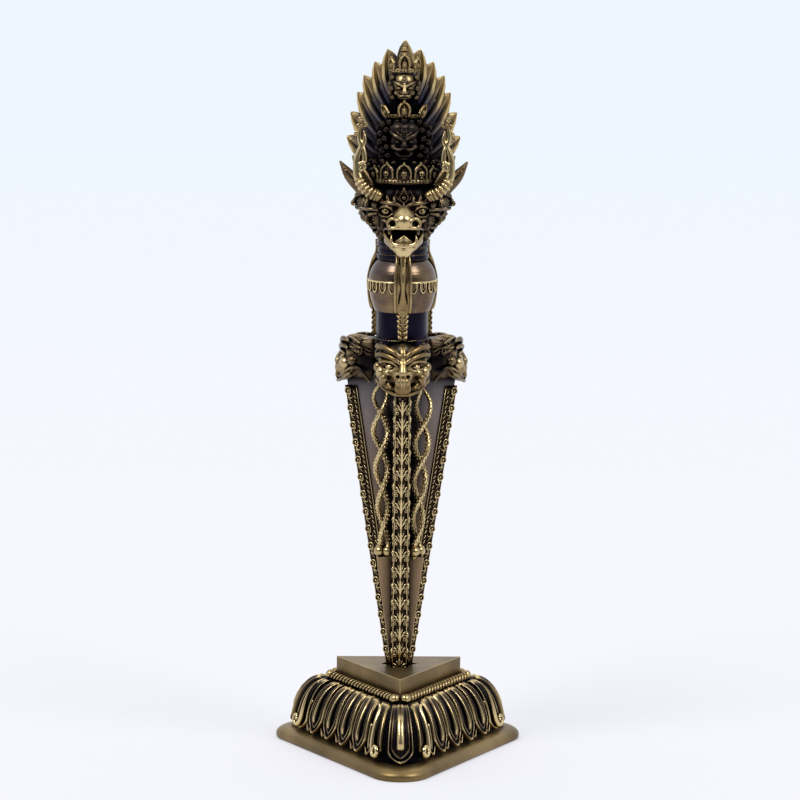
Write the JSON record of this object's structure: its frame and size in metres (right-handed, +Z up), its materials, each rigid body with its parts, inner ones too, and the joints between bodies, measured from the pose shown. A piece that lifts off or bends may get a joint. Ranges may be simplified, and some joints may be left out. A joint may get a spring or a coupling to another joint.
{
  "type": "ritual dagger with stand",
  "caption": "Three-edged ritual dagger with a bull-headed hilt, standing point down in a slotted lotus stand",
  "frame": {"origin": "on the dagger's axis, in the flat underside that the stand rests on", "axes": "+Z up along the dagger; one corner of the stand, one vane of the blade and the bull's face point along -Y; +X to the viewer's right"},
  "size_m": [0.087, 0.0783, 0.2501],
  "materials": {
    "foot_bronze": "brushed antique bronze",
    "dark_bronze": "blue-black patina in the recesses, satin",
    "blade_bronze": "smooth grey-brown patina, half polished",
    "petal_bronze": "dark patina with rubbed brass on the raised edges",
    "bright_brass": "rubbed antique brass over a dark patina",
    "steel": "plain"
  },
  "bodies": {
    "stand": {"foot": "foot_bronze", "lotus_dome": "dark_bronze", "petals_left": "petal_bronze", "petals_right": "petal_bronze", "petals_back": "petal_bronze", "corner_petals": "petal_bronze", "petal_scrolls": "petal_bronze", "rope_moulding": "bright_brass", "platform": "foot_bronze", "platform_screws": "steel", "base_cover": "dark_bronze", "cover_screws": "steel", "tip_socket": "dark_bronze"},
    "dagger": {"blade": "blade_bronze", "edge_rail_front": "bright_brass", "edge_rail_right": "bright_brass", "edge_rail_left": "bright_brass", "snake_left_a": "bright_brass", "snake_left_b": "bright_brass", "snake_right_a": "bright_brass", "snake_right_b": "bright_brass", "snake_back_a": "bright_brass", "snake_back_b": "bright_brass", "makara_collar": "dark_bronze", "makara_front": "bright_brass", "makara_right": "petal_bronze", "makara_left": "petal_bronze", "shaft": "dark_bronze", "vase": "blade_bronze", "stave_front": "bright_brass", "stave_right": "bright_brass", "stave_left": "bright_brass", "neck_rings": "petal_bronze", "tie_rod": "steel", "head_core": "dark_bronze", "bull_head": "bright_brass", "bull_jaw": "bright_brass", "horn_left": "bright_brass", "horn_right": "bright_brass", "skull_crown": "petal_bronze", "side_face_left_1": "dark_bronze", "side_face_left_2": "dark_bronze", "side_face_left_3": "dark_bronze", "side_face_right_1": "dark_bronze", "side_face_right_2": "dark_bronze", "side_face_right_3": "dark_bronze", "wrath_head": "dark_bronze", "wrath_crown": "petal_bronze", "top_head": "petal_bronze", "top_crown": "bright_brass", "feather_halo": "blade_bronze", "hair_mantle": "dark_bronze", "topknot": "petal_bronze"}
  },
  "joints": [
    {"name": "dagger_lift", "type": "slide", "parent": "stand", "child": "dagger", "axis": [0, 0, 1], "range_m": [0, 0.04]}
  ]
}
